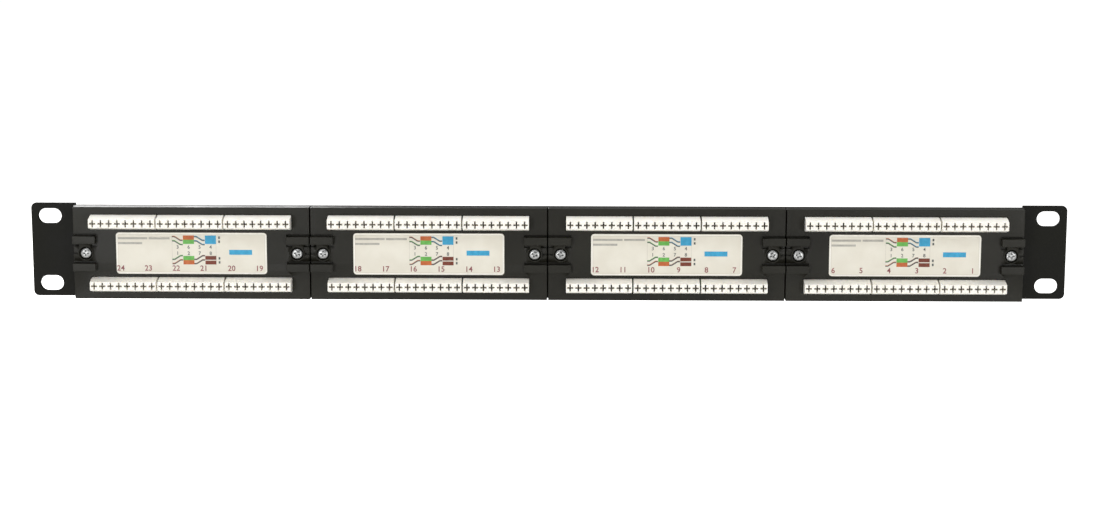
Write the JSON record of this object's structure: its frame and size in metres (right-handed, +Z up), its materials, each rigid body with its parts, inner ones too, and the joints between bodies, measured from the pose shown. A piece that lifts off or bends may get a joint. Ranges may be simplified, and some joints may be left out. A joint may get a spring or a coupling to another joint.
{
  "type": "patch panel",
  "caption": "Rack-mount patch panel with modular sockets in front and white punch-down blocks and printed wiring labels behind.",
  "frame": {"origin": "centre of the four rack slots, on the rear face of the rack ears", "axes": "+Y out of the socket side along the rack screws, +X along the panel to the right as seen from the wiring side, +Z up"},
  "size_m": [0.4826, 0.0252, 0.044],
  "materials": {
    "black_enamel": "satin black powder coat",
    "cover_black": "fine moulded texture",
    "housing_black": "moulded, satin",
    "block_white": "moulded polycarbonate",
    "label_film": "printed film, matt",
    "board_green": "solder mask over glass laminate",
    "zinc_plate": "bright zinc plate",
    "blade_tin": "tinned",
    "contact_gold": "gold flash over phosphor bronze"
  },
  "bodies": {
    "panel": {"front_panel": "black_enamel", "module_screws": "zinc_plate", "port_housing_1": "housing_black", "circuit_board_1": "board_green", "rear_cover_1": "cover_black", "wiring_label_1": "label_film", "idc_blocks_1_upper": "block_white", "idc_blocks_1_lower": "block_white", "idc_blades_1": "blade_tin", "contact_tails_1": "contact_gold", "port_housing_2": "housing_black", "circuit_board_2": "board_green", "rear_cover_2": "cover_black", "wiring_label_2": "label_film", "idc_blocks_2_upper": "block_white", "idc_blocks_2_lower": "block_white", "idc_blades_2": "blade_tin", "contact_tails_2": "contact_gold", "port_housing_3": "housing_black", "circuit_board_3": "board_green", "rear_cover_3": "cover_black", "wiring_label_3": "label_film", "idc_blocks_3_upper": "block_white", "idc_blocks_3_lower": "block_white", "idc_blades_3": "blade_tin", "contact_tails_3": "contact_gold", "port_housing_4": "housing_black", "circuit_board_4": "board_green", "rear_cover_4": "cover_black", "wiring_label_4": "label_film", "idc_blocks_4_upper": "block_white", "idc_blocks_4_lower": "block_white", "idc_blades_4": "blade_tin", "contact_tails_4": "contact_gold"},
    "springs_1": {"contact_springs_1": "contact_gold"},
    "springs_2": {"contact_springs_2": "contact_gold"},
    "springs_3": {"contact_springs_3": "contact_gold"},
    "springs_4": {"contact_springs_4": "contact_gold"},
    "springs_5": {"contact_springs_5": "contact_gold"},
    "springs_6": {"contact_springs_6": "contact_gold"},
    "springs_7": {"contact_springs_7": "contact_gold"},
    "springs_8": {"contact_springs_8": "contact_gold"},
    "springs_9": {"contact_springs_9": "contact_gold"},
    "springs_10": {"contact_springs_10": "contact_gold"},
    "springs_11": {"contact_springs_11": "contact_gold"},
    "springs_12": {"contact_springs_12": "contact_gold"},
    "springs_13": {"contact_springs_13": "contact_gold"},
    "springs_14": {"contact_springs_14": "contact_gold"},
    "springs_15": {"contact_springs_15": "contact_gold"},
    "springs_16": {"contact_springs_16": "contact_gold"},
    "springs_17": {"contact_springs_17": "contact_gold"},
    "springs_18": {"contact_springs_18": "contact_gold"},
    "springs_19": {"contact_springs_19": "contact_gold"},
    "springs_20": {"contact_springs_20": "contact_gold"},
    "springs_21": {"contact_springs_21": "contact_gold"},
    "springs_22": {"contact_springs_22": "contact_gold"},
    "springs_23": {"contact_springs_23": "contact_gold"},
    "springs_24": {"contact_springs_24": "contact_gold"}
  },
  "joints": [
    {"name": "springs_1_lift", "type": "hinge", "parent": "panel", "child": "springs_1", "pos_m": [0.204, 0.0053, 0.004], "axis": [-1, 0, 0], "range_deg": [0, 9], "stiffness_Nm_per_rad": 0.05},
    {"name": "springs_2_lift", "type": "hinge", "parent": "panel", "child": "springs_2", "pos_m": [0.1884, 0.0053, 0.004], "axis": [-1, 0, 0], "range_deg": [0, 9], "stiffness_Nm_per_rad": 0.05},
    {"name": "springs_3_lift", "type": "hinge", "parent": "panel", "child": "springs_3", "pos_m": [0.1728, 0.0053, 0.004], "axis": [-1, 0, 0], "range_deg": [0, 9], "stiffness_Nm_per_rad": 0.05},
    {"name": "springs_4_lift", "type": "hinge", "parent": "panel", "child": "springs_4", "pos_m": [0.1572, 0.0053, 0.004], "axis": [-1, 0, 0], "range_deg": [0, 9], "stiffness_Nm_per_rad": 0.05},
    {"name": "springs_5_lift", "type": "hinge", "parent": "panel", "child": "springs_5", "pos_m": [0.1416, 0.0053, 0.004], "axis": [-1, 0, 0], "range_deg": [0, 9], "stiffness_Nm_per_rad": 0.05},
    {"name": "springs_6_lift", "type": "hinge", "parent": "panel", "child": "springs_6", "pos_m": [0.126, 0.0053, 0.004], "axis": [-1, 0, 0], "range_deg": [0, 9], "stiffness_Nm_per_rad": 0.05},
    {"name": "springs_7_lift", "type": "hinge", "parent": "panel", "child": "springs_7", "pos_m": [0.094, 0.0053, 0.004], "axis": [-1, 0, 0], "range_deg": [0, 9], "stiffness_Nm_per_rad": 0.05},
    {"name": "springs_8_lift", "type": "hinge", "parent": "panel", "child": "springs_8", "pos_m": [0.0784, 0.0053, 0.004], "axis": [-1, 0, 0], "range_deg": [0, 9], "stiffness_Nm_per_rad": 0.05},
    {"name": "springs_9_lift", "type": "hinge", "parent": "panel", "child": "springs_9", "pos_m": [0.0628, 0.0053, 0.004], "axis": [-1, 0, 0], "range_deg": [0, 9], "stiffness_Nm_per_rad": 0.05},
    {"name": "springs_10_lift", "type": "hinge", "parent": "panel", "child": "springs_10", "pos_m": [0.0472, 0.0053, 0.004], "axis": [-1, 0, 0], "range_deg": [0, 9], "stiffness_Nm_per_rad": 0.05},
    {"name": "springs_11_lift", "type": "hinge", "parent": "panel", "child": "springs_11", "pos_m": [0.0316, 0.0053, 0.004], "axis": [-1, 0, 0], "range_deg": [0, 9], "stiffness_Nm_per_rad": 0.05},
    {"name": "springs_12_lift", "type": "hinge", "parent": "panel", "child": "springs_12", "pos_m": [0.016, 0.0053, 0.004], "axis": [-1, 0, 0], "range_deg": [0, 9], "stiffness_Nm_per_rad": 0.05},
    {"name": "springs_13_lift", "type": "hinge", "parent": "panel", "child": "springs_13", "pos_m": [-0.016, 0.0053, 0.004], "axis": [-1, 0, 0], "range_deg": [0, 9], "stiffness_Nm_per_rad": 0.05},
    {"name": "springs_14_lift", "type": "hinge", "parent": "panel", "child": "springs_14", "pos_m": [-0.0316, 0.0053, 0.004], "axis": [-1, 0, 0], "range_deg": [0, 9], "stiffness_Nm_per_rad": 0.05},
    {"name": "springs_15_lift", "type": "hinge", "parent": "panel", "child": "springs_15", "pos_m": [-0.0472, 0.0053, 0.004], "axis": [-1, 0, 0], "range_deg": [0, 9], "stiffness_Nm_per_rad": 0.05},
    {"name": "springs_16_lift", "type": "hinge", "parent": "panel", "child": "springs_16", "pos_m": [-0.0628, 0.0053, 0.004], "axis": [-1, 0, 0], "range_deg": [0, 9], "stiffness_Nm_per_rad": 0.05},
    {"name": "springs_17_lift", "type": "hinge", "parent": "panel", "child": "springs_17", "pos_m": [-0.0784, 0.0053, 0.004], "axis": [-1, 0, 0], "range_deg": [0, 9], "stiffness_Nm_per_rad": 0.05},
    {"name": "springs_18_lift", "type": "hinge", "parent": "panel", "child": "springs_18", "pos_m": [-0.094, 0.0053, 0.004], "axis": [-1, 0, 0], "range_deg": [0, 9], "stiffness_Nm_per_rad": 0.05},
    {"name": "springs_19_lift", "type": "hinge", "parent": "panel", "child": "springs_19", "pos_m": [-0.126, 0.0053, 0.004], "axis": [-1, 0, 0], "range_deg": [0, 9], "stiffness_Nm_per_rad": 0.05},
    {"name": "springs_20_lift", "type": "hinge", "parent": "panel", "child": "springs_20", "pos_m": [-0.1416, 0.0053, 0.004], "axis": [-1, 0, 0], "range_deg": [0, 9], "stiffness_Nm_per_rad": 0.05},
    {"name": "springs_21_lift", "type": "hinge", "parent": "panel", "child": "springs_21", "pos_m": [-0.1572, 0.0053, 0.004], "axis": [-1, 0, 0], "range_deg": [0, 9], "stiffness_Nm_per_rad": 0.05},
    {"name": "springs_22_lift", "type": "hinge", "parent": "panel", "child": "springs_22", "pos_m": [-0.1728, 0.0053, 0.004], "axis": [-1, 0, 0], "range_deg": [0, 9], "stiffness_Nm_per_rad": 0.05},
    {"name": "springs_23_lift", "type": "hinge", "parent": "panel", "child": "springs_23", "pos_m": [-0.1884, 0.0053, 0.004], "axis": [-1, 0, 0], "range_deg": [0, 9], "stiffness_Nm_per_rad": 0.05},
    {"name": "springs_24_lift", "type": "hinge", "parent": "panel", "child": "springs_24", "pos_m": [-0.204, 0.0053, 0.004], "axis": [-1, 0, 0], "range_deg": [0, 9], "stiffness_Nm_per_rad": 0.05}
  ]
}
